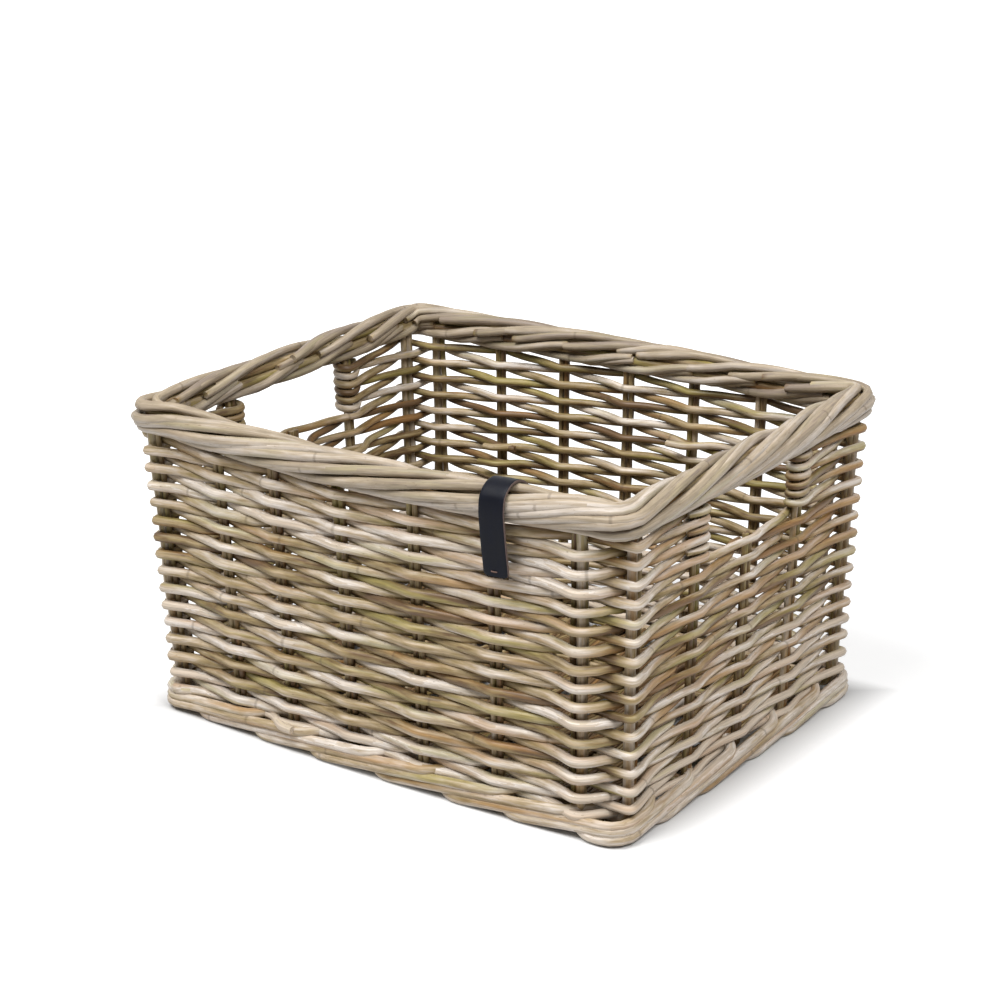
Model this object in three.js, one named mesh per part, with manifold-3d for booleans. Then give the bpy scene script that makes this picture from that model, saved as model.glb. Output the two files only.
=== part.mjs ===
import * as THREE from "three";
import { mergeVertices } from "three/addons/utils/BufferGeometryUtils.js";
import Module from "manifold-3d";

// Overall size of the basket, measured over the border, in millimetres
const LENGTH = 460;
const WIDTH = 372;
const HEIGHT = 255;

// Gap kept between pieces that touch
const CLEARANCE = 0.3;

// How far the middle of each wall comes in from the border down to the foot
const WALL_LEAN = 8;

// How far a long wall stands out at its middle, and how far the front rim hangs there
const WALL_BOW = 6;
const RIM_SAG = 5;

// Upright stakes, each a pair of rods pressed side by side. Those of the front stand unevenly, a little
// to the left of their other ends in the back wall.
const STAKE_DIAMETER = 5;
const PAIR_PRESS = 0.6;
const END_STAKES = 5;
const FRONT_CORNER_DISTANCE = 18;
const END_CORNER_DISTANCE = 14;
const FRONT_STAKE_SHIFTS = [-8, -14, -21, -22, -18, -13, -8];
const STAKE_BEND_RADIUS = 6;
const STAKE_ARC_STEPS = 5;

// Woven rows
const WEAVER_DIAMETER = 6.5;
const WEAVE_ROWS = 30;
const CORNER_DIVE_ANGLE = 34;
const CORNER_BLUNTING = 5;
const WEAVER_SIDES = 6;

// Handle openings, one in each end, under the border
const HANDLE_ROWS = 6;
const HANDLE_SPACINGS = 0.75;
const HANDLE_BAR_OVERLAP = 9;
const HOOK_MARGIN = 0.9;

// Border rolled along the top edge
const BORDER_WIDTH = 30;
const BORDER_HEIGHT = 30;
const BORDER_CHAMFER = 8.5;
const BORDER_CORNER_RADIUS = 17;
const BORDER_CORNER_STEPS = 3;

// Two thick rods round the foot, outside the stakes
const FOOT_ROD_DIAMETER = 8.8;
const FOOT_CORNER_RADIUS = 11;
const FOOT_CORNER_STEPS = 2;
const FOOT_STAND = 1;

// Woven base: flat bundles of canes laid across, over and under the long stakes in turn. Neighbours
// press into each other where they cross.
const BASE_CANE_DIAMETER = 3;
const BASE_BUNDLES = 24;
const BASE_BUNDLE_PRESS = 0.8;
const BASE_EDGE_GAP = 12;

// Strap folded over the front border
const STRAP_POSITION = 124;
const STRAP_WIDTH = 20;
const STRAP_THICKNESS = 2;
const STRAP_DROP = 62;
const STRAP_INNER_DROP = 30;

// Rattan and strap finishes
const RATTAN_TONES = ["#a8967c", "#93825f", "#b6a68f", "#857254", "#9c8c6c"];
const STAKE_TONE = "#8d7d5c";
const BORDER_TONE = "#ad9c84";
const FOOT_TONE = "#a39378";
const BASE_TONE = "#9a8a6b";
const STRAP_TONE = "#23262e";
const RATTAN_ROUGHNESS = 0.62;
const STRAP_ROUGHNESS = 0.48;

const wasm = await Module();
wasm.setup();

const UP = new THREE.Vector3(0, 0, 1);
const QUARTER_TURN = Math.PI / 2;

// Heights worked up from the foot, and half sizes of the wall at the border
const weaverRadius = WEAVER_DIAMETER / 2;
const stakeRadius = STAKE_DIAMETER / 2;
const pairOffset = (STAKE_DIAMETER - PAIR_PRESS) / 2;
const crossStakeZ = FOOT_STAND + stakeRadius;
const baseUnderside = crossStakeZ + stakeRadius + CLEARANCE;
const topHalfLength = (LENGTH - BORDER_WIDTH) / 2;
const topHalfWidth = (WIDTH - BORDER_WIDTH) / 2 - WALL_BOW;
const endStakeSpacing = (2 * (topHalfWidth - WALL_LEAN - END_CORNER_DISTANCE)) / (END_STAKES - 1);
const baseReach = passingReach(BASE_CANE_DIAMETER, endStakeSpacing);
const longStakeZ = baseUnderside + BASE_CANE_DIAMETER / 2 + baseReach;
const wallBottom = longStakeZ + stakeRadius + CLEARANCE;
const wallTop = HEIGHT - BORDER_HEIGHT;
const rowPitch = (wallTop - wallBottom) / WEAVE_ROWS;
const fullRows = WEAVE_ROWS - HANDLE_ROWS;
const handleSill = wallBottom + fullRows * rowPitch;

// How far from a stake's middle a rod runs that passes its neighbours on the other face
function passingReach(diameter, spacing) {
  const contact = diameter / 2 + stakeRadius + CLEARANCE;
  return contact + (2 * contact * pairOffset) / spacing;
}

// Share of the wall's height, from its bottom row to the border
function wallRise(z) {
  return Math.max(0, (z - wallBottom) / (wallTop - wallBottom));
}

function wallInset(z) {
  return WALL_LEAN * (1 - wallRise(z));
}

// Share of the bow at a place along a side: all of it at the middle of a long side, none at the corners
function bowShare(side, along) {
  const reach = halfAlong(0, 0) - FRONT_CORNER_DISTANCE - Math.abs(FRONT_STAKE_SHIFTS[0]);
  return side % 2 === 0 ? Math.max(0, 1 - (along / reach) ** 2) : 0;
}

function sagAt(side, along) {
  return side === 0 ? RIM_SAG * bowShare(side, along) : 0;
}

// Sides run 0 front, 1 right, 2 back and 3 left, seen from outside from left to right
function halfAlong(side, z) {
  return (side % 2 === 0 ? topHalfLength : topHalfWidth) - wallInset(z);
}

function halfAcross(side, z) {
  return halfAlong(side + 1, z);
}

// A point by its place along a side, its distance outside the wall's middle and its height
function wallPoint(side, along, outward, z) {
  const across = halfAcross(side, z) + WALL_BOW * bowShare(side, along) + outward;
  const height = z - sagAt(side, along) * wallRise(z);
  return new THREE.Vector3(along, -across, height).applyAxisAngle(UP, side * QUARTER_TURN);
}

// Stakes stand evenly along each side apart from the shifts, and those under a handle opening are short
function stakesOf(side) {
  const count = side % 2 === 0 ? FRONT_STAKE_SHIFTS.length : END_STAKES;
  const first = halfAlong(side, 0) - (side % 2 === 0 ? FRONT_CORNER_DISTANCE : END_CORNER_DISTANCE);
  const places = [];
  for (let i = 0; i < count; i += 1) {
    const shift = side === 0 ? FRONT_STAKE_SHIFTS[i] : 0;
    places.push(-first + (2 * first * i) / (count - 1) + shift);
  }
  return places.map((along, i) => {
    const neighbours = places.filter((place, j) => Math.abs(i - j) === 1);
    const spacing = Math.min(...neighbours.map((place) => Math.abs(place - along)));
    const underHandle = side % 2 === 1 && Math.abs(along) < HANDLE_SPACINGS * spacing;
    return { side, along, spacing, atCorner: i === 0 || i === count - 1, underHandle };
  });
}

// A rod's centre line through the points that it bends at, all in one plane
class RodPath extends THREE.Curve {
  constructor(points, planeNormal, closed = false) {
    super();
    this.points = points;
    this.planeNormal = planeNormal;
    this.closed = closed;
    this.spans = closed ? points.length : points.length - 1;
  }

  getPoint(t, target = new THREE.Vector3()) {
    const place = t * this.spans;
    const index = Math.min(Math.floor(place), this.spans - 1);
    const next = (index + 1) % this.points.length;
    return target.lerpVectors(this.points[index], this.points[next], place - index);
  }

  // Steps fall on the bends and not at equal lengths
  getUtoTmapping(u) {
    return u;
  }

  // The direction at a bend lies halfway between the runs that meet there
  directionAt(index) {
    const count = this.points.length;
    const direction = new THREE.Vector3();
    const run = new THREE.Vector3();
    for (const start of [index - 1, index]) {
      if (this.closed || (start >= 0 && start < count - 1)) {
        const from = this.points[(start + count) % count];
        const to = this.points[(start + 1) % count];
        direction.add(run.subVectors(to, from).normalize());
      }
    }
    return direction.normalize();
  }

  // Sections stay square to the plane that the rod bends in
  computeFrenetFrames(steps) {
    const frames = { tangents: [], normals: [], binormals: [] };
    for (let i = 0; i <= steps; i += 1) {
      const tangent = this.directionAt(i);
      frames.tangents.push(tangent);
      frames.normals.push(new THREE.Vector3().crossVectors(this.planeNormal, tangent));
      frames.binormals.push(this.planeNormal.clone());
    }
    return frames;
  }
}

// A section's first axis lies in the plane of the rod's bends and its second is square to it
function rodGeometry(section, points, planeNormal) {
  const extrudePath = new RodPath(points, planeNormal);
  return new THREE.ExtrudeGeometry(section, { steps: extrudePath.spans, extrudePath });
}

function ringGeometry(diameter, points) {
  const path = new RodPath(points, UP, true);
  return new THREE.TubeGeometry(path, path.spans, diameter / 2, WEAVER_SIDES, true);
}

function arcPoints(centreX, centreY, radius, from, to, steps) {
  const points = [];
  for (let i = 0; i <= steps; i += 1) {
    const angle = from + ((to - from) * i) / steps;
    points.push(new THREE.Vector2(centreX + radius * Math.cos(angle), centreY + radius * Math.sin(angle)));
  }
  return points;
}

function roundSection(diameter, sides) {
  return new THREE.Shape(arcPoints(0, 0, diameter / 2, 0, 2 * Math.PI, sides).slice(0, -1));
}

// Two rods side by side, lying along the section's second axis
function pairSection() {
  const notch = Math.acos(pairOffset / stakeRadius);
  const sweep = Math.PI - notch;
  const from = QUARTER_TURN - sweep;
  const to = QUARTER_TURN + sweep;
  const upper = arcPoints(0, pairOffset, stakeRadius, from, to, STAKE_ARC_STEPS);
  const lower = upper.map(({ x, y }) => new THREE.Vector2(-x, -y));
  return new THREE.Shape([...upper, ...lower.slice(1, -1)]);
}

function blockSection(width, height, chamfer = 0) {
  const x = width / 2;
  const y = height / 2;
  if (chamfer === 0) {
    const corners = [[-x, -y], [x, -y], [x, y], [-x, y]];
    return new THREE.Shape(corners.map(([u, v]) => new THREE.Vector2(u, v)));
  }
  const corners = [
    [-x + chamfer, -y], [x - chamfer, -y], [x, -y + chamfer], [x, y - chamfer],
    [x - chamfer, y], [-x + chamfer, y], [-x, y - chamfer], [-x, -y + chamfer],
  ];
  return new THREE.Shape(corners.map(([u, v]) => new THREE.Vector2(u, v)));
}

const basket = new THREE.Group();

function addPiece(name, geometry, color, roughness = RATTAN_ROUGHNESS) {
  const material = new THREE.MeshStandardMaterial({ color, roughness, metalness: 0 });
  const piece = new THREE.Mesh(geometry, material);
  piece.name = name;
  basket.add(piece);
  return piece;
}

// Stakes run down one wall, across the base and up the wall opposite
function stakePoints(near, far, baseZ, topZ) {
  const bend = STAKE_BEND_RADIUS;
  const midBend = bend * (1 - Math.SQRT1_2);
  const leg = [
    [0, topZ],
    [0, wallBottom + STAKE_BEND_RADIUS],
    [0, baseZ + bend],
    [-midBend, baseZ + midBend],
    [-bend, baseZ],
  ];
  const down = leg.map(([outward, z]) => wallPoint(near.side, near.along, outward, z));
  const up = leg.map(([outward, z]) => wallPoint(far.side, far.along, outward, z));
  return [...down, ...up.reverse()];
}

function addStakes(name, side, baseZ) {
  const farEnds = stakesOf(side + 2).reverse();
  stakesOf(side).forEach((stake, i) => {
    const topZ = stake.underHandle ? handleSill : wallTop - CLEARANCE;
    const points = stakePoints(stake, farEnds[i], baseZ, topZ);
    const across = new THREE.Vector3().subVectors(points[points.length - 1], points[0]);
    const planeNormal = across.cross(UP).normalize();
    addPiece(`${name}_${i + 1}`, rodGeometry(pairSection(), points, planeNormal), STAKE_TONE);
  });
}

// A weaver's distance from the wall's middle where it passes a stake
const contact = weaverRadius + stakeRadius + CLEARANCE;
const diveAngle = THREE.MathUtils.degToRad(CORNER_DIVE_ANGLE);
const cornerReach = (contact + pairOffset * Math.sin(diveAngle)) / Math.cos(diveAngle);

function reachAt(stake) {
  return stake.atCorner ? cornerReach : passingReach(WEAVER_DIAMETER, stake.spacing);
}

// A weaver leaves the last stake of a side, turns the corner and passes the next on its other face.
// It turns where it clears the stake that it passes on the outside.
function cornerPoints(stake, next, sign, z) {
  const slope = Math.tan(diveAngle);
  const corner = halfAlong(stake.side, z);
  const distance = sign > 0 ? corner - stake.along : next.along + halfAlong(next.side, z);
  const cut = (slope * distance - cornerReach) / (1 + slope);
  const turn = wallPoint(stake.side, corner - cut, -cut, z);
  const before = wallPoint(stake.side, stake.along, sign * cornerReach, z);
  const after = wallPoint(next.side, next.along, -sign * cornerReach, z);
  return [before, after].map((end) => {
    const step = new THREE.Vector3().subVectors(end, turn).setLength(CORNER_BLUNTING);
    return step.add(turn);
  });
}

// Points of a row past the stakes given, over and under them in turn
function weavePoints(stakes, firstSign, z, closed) {
  const points = [];
  stakes.forEach((stake, i) => {
    const sign = i % 2 === 0 ? firstSign : -firstSign;
    points.push(wallPoint(stake.side, stake.along, sign * reachAt(stake), z));
    const next = stakes[(i + 1) % stakes.length];
    const turns = next.side !== stake.side && (closed || i + 1 < stakes.length);
    if (turns) {
      points.push(...cornerPoints(stake, next, sign, z));
    }
  });
  return points;
}

// The end of a row hooks round the stake beside a handle opening
function hookPoints(stake, sign, direction, z) {
  const past = stake.along + direction * contact;
  const end = stake.along + direction * (pairOffset + contact + HOOK_MARGIN);
  return [
    wallPoint(stake.side, past, sign * reachAt(stake), z),
    wallPoint(stake.side, end, 0, z),
  ];
}

const wallStakes = [0, 1, 2, 3].map(stakesOf);

function addFullRow(name, row, z) {
  const sign = row % 2 === 0 ? 1 : -1;
  const points = weavePoints(wallStakes.flat(), sign, z, true);
  addPiece(name, ringGeometry(WEAVER_DIAMETER, points), RATTAN_TONES[row % RATTAN_TONES.length]);
}

// Beside the handle openings a row is two lengths, one round the front and one round the back
function addPartRow(name, side, row, z) {
  const [leftEnd, wall, rightEnd] = [side + 3, side, side + 1].map((index) => wallStakes[index % 4]);
  const stakes = [
    ...leftEnd.filter((stake) => !stake.underHandle && stake.along > 0),
    ...wall,
    ...rightEnd.filter((stake) => !stake.underHandle && stake.along < 0),
  ];
  const firstSign = row % 2 === 0 ? 1 : -1;
  const lastSign = stakes.length % 2 === 1 ? firstSign : -firstSign;
  const last = stakes[stakes.length - 1];
  const points = [
    ...hookPoints(stakes[0], firstSign, -1, z).reverse(),
    ...weavePoints(stakes, firstSign, z, false),
    ...hookPoints(last, lastSign, 1, z),
  ];
  const geometry = rodGeometry(roundSection(WEAVER_DIAMETER, WEAVER_SIDES), points, UP);
  addPiece(name, geometry, RATTAN_TONES[row % RATTAN_TONES.length]);
}

function addRows() {
  for (let row = 0; row < WEAVE_ROWS; row += 1) {
    const z = wallBottom + (row + 0.5) * rowPitch;
    const name = `weave_row_${String(row + 1).padStart(2, "0")}`;
    if (row < fullRows) {
      addFullRow(name, row, z);
    } else {
      addPartRow(`${name}_front`, 0, row, z);
      addPartRow(`${name}_back`, 2, row, z);
    }
  }
}

// A quarter circle in plan from one side to the next, at the right-hand end of a side
function cornerArc(side, alongHalf, acrossHalf, radius, z, steps) {
  const centreX = alongHalf - radius;
  const centreY = radius - acrossHalf;
  const arc = arcPoints(centreX, centreY, radius, -QUARTER_TURN, 0, steps);
  return arc.map(({ x, y }) => new THREE.Vector3(x, y, z).applyAxisAngle(UP, side * QUARTER_TURN));
}

// The border's front and back lengths turn the corners and meet the handle bars
const borderZ = HEIGHT - BORDER_HEIGHT / 2;
const edgeStake = wallStakes[1].find((stake) => stake.along > 0 && !stake.underHandle);
const handleHalf = edgeStake.along + HANDLE_BAR_OVERLAP;

// The border's middle over a stake of a long side
function borderPoint({ side, along }) {
  const across = topHalfWidth + WALL_BOW * bowShare(side, along);
  const point = new THREE.Vector3(along, -across, borderZ - sagAt(side, along));
  return point.applyAxisAngle(UP, side * QUARTER_TURN);
}

function addBorder() {
  const section = blockSection(BORDER_WIDTH, BORDER_HEIGHT, BORDER_CHAMFER);
  const straightHalf = topHalfLength - BORDER_CORNER_RADIUS;
  [["front_border", 0], ["back_border", 2]].forEach(([name, side]) => {
    const bend = [BORDER_CORNER_RADIUS, borderZ, BORDER_CORNER_STEPS];
    const right = cornerArc(side, topHalfLength, topHalfWidth, ...bend);
    const left = cornerArc(side + 3, topHalfWidth, topHalfLength, ...bend);
    const overStakes = wallStakes[side].filter((stake) => Math.abs(stake.along) < straightHalf - STAKE_DIAMETER);
    const end = handleHalf + CLEARANCE;
    const start = new THREE.Vector3(-topHalfLength, -end, borderZ);
    const finish = new THREE.Vector3(topHalfLength, -end, borderZ);
    const turn = side * QUARTER_TURN;
    const long = overStakes.map(borderPoint);
    const ends = [start, finish].map((point) => point.applyAxisAngle(UP, turn));
    const points = [ends[0], ...left, ...long, ...right, ends[1]];
    addPiece(name, rodGeometry(section, points, UP), BORDER_TONE);
  });
  [["right_handle_bar", 1], ["left_handle_bar", -1]].forEach(([name, sign]) => {
    const points = [-1, 1].map((end) => new THREE.Vector3(sign * topHalfLength, end * handleHalf, borderZ));
    addPiece(name, rodGeometry(section, points, UP), BORDER_TONE);
  });
}

// Rods with six sides stand on a flat
const footRodHeight = FOOT_ROD_DIAMETER * Math.cos(Math.PI / WEAVER_SIDES);

function addFoot() {
  const outward = stakeRadius + 2 * CLEARANCE + FOOT_ROD_DIAMETER / 2;
  ["foot_rod_lower", "foot_rod_upper"].forEach((name, layer) => {
    const z = footRodHeight / 2 + layer * (footRodHeight + CLEARANCE);
    const points = [0, 1, 2, 3].flatMap((side) => {
      const alongHalf = halfAlong(side, 0) + outward;
      const acrossHalf = halfAcross(side, 0) + outward;
      const corner = cornerArc(side, alongHalf, acrossHalf, FOOT_CORNER_RADIUS, z, FOOT_CORNER_STEPS);
      const passed = side % 2 === 0 ? wallStakes[side] : [];
      return [...passed.map((stake) => wallPoint(side, stake.along, outward, 0).setZ(z)), ...corner];
    });
    addPiece(name, ringGeometry(FOOT_ROD_DIAMETER, points), FOOT_TONE);
  });
}

function closedSolid(geometry) {
  const bare = new THREE.BufferGeometry();
  bare.setAttribute("position", geometry.getAttribute("position"));
  const merged = mergeVertices(bare);
  const vertProperties = new Float32Array(merged.getAttribute("position").array);
  const triVerts = new Uint32Array(merged.index.array);
  return new wasm.Manifold(new wasm.Mesh({ numProp: 3, vertProperties, triVerts }));
}

function solidGeometry(solid) {
  const { vertProperties, triVerts } = solid.getMesh();
  const geometry = new THREE.BufferGeometry();
  geometry.setAttribute("position", new THREE.BufferAttribute(vertProperties, 3));
  return geometry.setIndex(new THREE.BufferAttribute(triVerts, 1));
}

// One bundle of the base, over and under the long stakes, cut off on the outermost
function bundleSolid(x, width, firstSign) {
  const places = wallStakes[1].map((stake) => stake.along);
  const edge = halfAlong(1, 0) - BASE_EDGE_GAP;
  const crossings = places.map((y, i) => {
    return new THREE.Vector3(x, y, longStakeZ + (i % 2 === 0 ? firstSign : -firstSign) * baseReach);
  });
  const points = [
    crossings[0].clone().setY(-edge),
    ...crossings,
    crossings[crossings.length - 1].clone().setY(edge),
  ];
  const section = blockSection(BASE_CANE_DIAMETER, width);
  return closedSolid(rodGeometry(section, points, new THREE.Vector3(1, 0, 0)));
}

function addBase() {
  const length = 2 * (halfAlong(0, 0) - BASE_EDGE_GAP);
  const pitch = (length - BASE_BUNDLE_PRESS) / BASE_BUNDLES;
  let base = null;
  for (let i = 0; i < BASE_BUNDLES; i += 1) {
    const x = (i - (BASE_BUNDLES - 1) / 2) * pitch;
    const bundle = bundleSolid(x, pitch + BASE_BUNDLE_PRESS, i % 2 === 0 ? 1 : -1);
    base = base ? base.add(bundle) : bundle;
  }
  addPiece("base_mat", solidGeometry(base), BASE_TONE);
}

// The strap lies over the border, its ends hang plumb and the outer one rests on the weave
function addStrap() {
  const stand = CLEARANCE + STRAP_THICKNESS / 2;
  const shoulder = stand * Math.tan(Math.PI / 8);
  const side = BORDER_WIDTH / 2 + stand;
  const crown = BORDER_WIDTH / 2 - BORDER_CHAMFER + shoulder;
  const shoulderZ = HEIGHT - BORDER_CHAMFER + shoulder;
  const endZ = HEIGHT - STRAP_DROP;
  const endOutward = reachAt(wallStakes[0][1]) + weaverRadius + stand - wallInset(endZ);
  const profile = [
    [-side, HEIGHT - STRAP_INNER_DROP],
    [-side, shoulderZ],
    [-crown, HEIGHT + stand],
    [crown, HEIGHT + stand],
    [side, shoulderZ],
    [side, wallTop + BORDER_CHAMFER],
    [endOutward, endZ],
  ];
  const next = wallStakes[0].findIndex((stake) => stake.along > STRAP_POSITION);
  const [before, after] = [next - 1, next].map((i) => borderPoint(wallStakes[0][i]));
  const across = after.clone().sub(before).normalize();
  const out = across.clone().cross(UP).normalize();
  const rise = out.clone().cross(across);
  const middle = before.clone().lerp(after, (STRAP_POSITION - before.x) / (after.x - before.x));
  const points = profile.map(([outward, z]) => {
    const point = middle.clone().addScaledVector(out, outward);
    point.addScaledVector(rise, Math.max(z, shoulderZ) - borderZ);
    return point.addScaledVector(UP, Math.min(z - shoulderZ, 0));
  });
  const section = blockSection(STRAP_THICKNESS, STRAP_WIDTH);
  addPiece("tag_strap", rodGeometry(section, points, across), STRAP_TONE, STRAP_ROUGHNESS);
}

addStakes("cross_stake", 0, crossStakeZ);
addStakes("long_stake", 1, longStakeZ);
addBase();
addFoot();
addRows();
addBorder();
addStrap();

export default basket;
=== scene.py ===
import math
import random

import bmesh
import bpy
import numpy as np
from bpy.props import FloatProperty, FloatVectorProperty, IntProperty, PointerProperty
from mathutils import Matrix, Vector


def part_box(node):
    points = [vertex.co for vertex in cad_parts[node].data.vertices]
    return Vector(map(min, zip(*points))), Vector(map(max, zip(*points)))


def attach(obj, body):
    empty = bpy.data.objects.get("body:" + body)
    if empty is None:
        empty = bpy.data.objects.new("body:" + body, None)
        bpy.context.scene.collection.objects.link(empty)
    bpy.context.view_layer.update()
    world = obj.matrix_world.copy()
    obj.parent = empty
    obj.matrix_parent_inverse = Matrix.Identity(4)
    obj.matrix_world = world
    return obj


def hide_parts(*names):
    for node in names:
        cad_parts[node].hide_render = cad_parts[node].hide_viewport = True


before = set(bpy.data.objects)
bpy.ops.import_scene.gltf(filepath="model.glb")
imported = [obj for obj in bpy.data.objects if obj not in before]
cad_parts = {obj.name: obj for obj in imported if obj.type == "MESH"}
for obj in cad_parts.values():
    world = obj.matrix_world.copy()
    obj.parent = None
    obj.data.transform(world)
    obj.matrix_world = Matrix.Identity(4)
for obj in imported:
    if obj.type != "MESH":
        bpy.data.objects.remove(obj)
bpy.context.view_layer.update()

bl_info = {
    "name": "Woven Bicycle Basket",
    "version": (1, 0, 0),
    "blender": (4, 5, 0),
    "location": "View3D > Sidebar > Basket",
    "description": "Weaves a rattan bicycle basket over its solid model",
    "category": "Add Mesh",
}

MM = 0.001
BODY = "root"
SIDES = 4


def linear(red, green, blue):
    """A colour given as screen values from 0 to 255, made scene linear."""
    channels = []
    for value in (red, green, blue):
        c = value / 255
        channels.append(c / 12.92 if c <= 0.04045 else ((c + 0.055) / 1.055) ** 2.4)
    return tuple(channels)


def size(name, description, default_mm):
    """A length property whose default is given in millimetres."""
    return FloatProperty(name=name, description=description, default=default_mm * MM, unit="LENGTH", precision=5)


def colour(name, description, *screen):
    """A colour property whose default is given as screen values."""
    return FloatVectorProperty(
        name=name, description=description, default=linear(*screen), subtype="COLOR", min=0.0, max=1.0
    )


class BasketSizes(bpy.types.PropertyGroup):
    """Sizes of the rods and of the hand's unevenness."""

    weaver: size("Weaver", "Diameter of a woven rod", 6.9)
    stake: size("Stake rod", "Diameter of each rod of a stake pair", 5)
    post: size("Corner post", "Diameter of the thick rod of a corner pair", 8)
    border_rod: size("Border rod", "Diameter of a rod rolled round the top edge", 7.2)
    border_radius: size("Border radius", "Distance of the border's rods from its middle", 10.4)
    border_corner: size("Border corner", "Plan radius of the border's middle at a corner", 10)
    foot_rod: size("Foot rod", "Diameter of a rod round the foot", 7.8)
    foot_corner: size("Foot corner", "Plan radius of the foot's middle at a corner", 9)
    base_rod: size("Base cane", "Diameter of a cane of the woven base", 3.2)
    wobble: size("Row wobble", "How far a woven row strays up and down", 0.6)
    outer_dip: size("Outer dip", "How much lower front and right rows hang outside a stake", -0.8)
    corner_dip: size("Corner dip", "How much lower rows hang outside a stake at the near corner", 2.2)
    inner_dip: size("Inner dip", "How much lower back and left rows hang inside a stake", 1.3)
    flare: size("Rim flare", "How far the rim's left corners stand out", 0.7)
    strap_width: size("Strap width", "Width of the strap tag", 20)
    strap_thickness: size("Strap thickness", "Thickness of the strap tag", 2.2)
    seed: IntProperty(name="Seed", description="Start of the random draws", default=7)


class BasketColours(bpy.types.PropertyGroup):
    """Colours of the bark, the cut ends and the strap."""

    dark: colour("Dark bark", "Brown bark", 98, 75, 50)
    olive: colour("Olive bark", "Olive brown bark", 141, 122, 84)
    tan: colour("Tan bark", "Tan bark", 170, 151, 123)
    pale: colour("Pale bark", "Grey beige bark", 194, 179, 161)
    silver: colour("Silver bark", "Palest weathered bark", 216, 207, 198)
    ochre: colour("Ochre patch", "Warm patches on the bark", 160, 118, 68)
    green: colour("Green patch", "Yellow green patches on the bark", 152, 143, 76)
    grey: colour("Grey bark", "Weathered bark of the border", 158, 147, 135)
    ring: colour("Node ring", "Rings where leaves grew", 74, 58, 44)
    pith: colour("Cut end", "Brown pith of a cut rod", 128, 104, 78)
    strap: colour("Strap", "Dark blue black face of the strap", 4, 6, 16)
    strap_edge: colour("Strap edge", "Paler cut edge of the strap", 92, 76, 70)
    stitch: colour("Stitch", "Thread at the strap's end", 96, 72, 62)
    floor: colour("Floor", "Plain studio floor", 206, 206, 206)


class StudioSettings(bpy.types.PropertyGroup):
    """Camera and light."""

    azimuth: FloatProperty(
        name="Azimuth", description="Camera's turn from the front", default=math.radians(36.44), subtype="ANGLE"
    )
    elevation: FloatProperty(
        name="Elevation", description="Camera's turn above the floor", default=math.radians(19.4), subtype="ANGLE"
    )
    roll: FloatProperty(name="Roll", description="Camera's tilt", default=math.radians(-0.77), subtype="ANGLE")
    distance: size("Distance", "Camera to the basket's middle", 1844.9)
    aim_right: size("Aim right", "Camera's shift to the right", -4.8)
    aim_up: size("Aim up", "Camera's shift upwards", 35.7)
    lens: FloatProperty(name="Lens", description="Focal length in millimetres", default=86.19)
    key: FloatProperty(name="Key light", description="Power of the large lamp", default=66.0, unit="POWER")
    fill: FloatProperty(name="Fill light", description="Power of the right lamp", default=42.0, unit="POWER")
    sky: FloatProperty(name="Sky", description="Strength of the even light all round", default=0.19)
    glow: FloatProperty(name="Floor glow", description="Brightness added to the nearby floor", default=0.5)


# The wall and its stakes, read from the frame

ROWS = 30
HANDLE_ROWS = 6
FULL_ROWS = ROWS - HANDLE_ROWS


def row_nodes(row):
    """Names of the solids of a row, counted from 0 at the foot."""
    name = f"weave_row_{row + 1:02d}"
    return [name] if row < FULL_ROWS else [f"{name}_front", f"{name}_back"]


def middle(name):
    """Middle of a solid's box."""
    low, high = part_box(name)
    return [(a + b) / 2 for a, b in zip(low, high)]


PAIR_HALF = (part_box("long_stake_1")[1][1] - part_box("long_stake_1")[0][1]) / 2
CORNER_DRAW = 8 * MM
FRONT_DRAW = 5 * MM


def drawn_out(places, first, last):
    """Places of a wall's stakes, with the end ones drawn towards the corners."""
    return [places[0] - first, *places[1:-1], places[-1] + last]


FRONT_X = drawn_out([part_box(f"cross_stake_{i}")[0][0] + PAIR_HALF for i in range(1, 8)], CORNER_DRAW, 0)
BACK_X = [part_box(f"cross_stake_{i}")[1][0] - PAIR_HALF for i in range(1, 8)]
END_Y = drawn_out([middle(f"long_stake_{i}")[1] for i in range(1, 6)], FRONT_DRAW, CORNER_DRAW)
PLACES = [FRONT_X, END_Y, [-x for x in reversed(BACK_X)], [-y for y in reversed(END_Y)]]
STATIONS = [(side, along) for side in range(SIDES) for along in PLACES[side]]
TOP_ROW = row_nodes(ROWS - 1)[-1]
ROD_SOLID_HALF = middle(TOP_ROW)[2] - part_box(TOP_ROW)[0][2]
ROW_HEIGHTS = [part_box(row_nodes(row)[-1])[1][2] - ROD_SOLID_HALF for row in range(ROWS)]
STAKE_SOLID = 5 * MM
STAKE_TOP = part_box("cross_stake_1")[1][2]
CROSS_STAKE_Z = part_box("cross_stake_1")[0][2] + STAKE_SOLID / 2
LONG_STAKE_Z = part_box("long_stake_1")[0][2] + STAKE_SOLID / 2
HANDLE_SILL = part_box("long_stake_3")[1][2]
HALF_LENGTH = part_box("long_stake_1")[1][0] - STAKE_SOLID / 2
HALF_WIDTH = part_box("cross_stake_1")[1][1] - STAKE_SOLID / 2
WALL_LEAN = (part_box("weave_row_21")[1][0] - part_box("weave_row_01")[1][0]) / (ROW_HEIGHTS[20] - ROW_HEIGHTS[0])
BORDER_Z = middle("right_handle_bar")[2]
RIM_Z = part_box("right_handle_bar")[1][2]
WALL_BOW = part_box("cross_stake_4")[1][1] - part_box("cross_stake_1")[1][1]
RIM_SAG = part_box("back_border")[0][2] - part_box("front_border")[0][2]
BOW_REACH = FRONT_X[-1]
FOOT_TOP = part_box("foot_rod_upper")[1][2]


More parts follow.
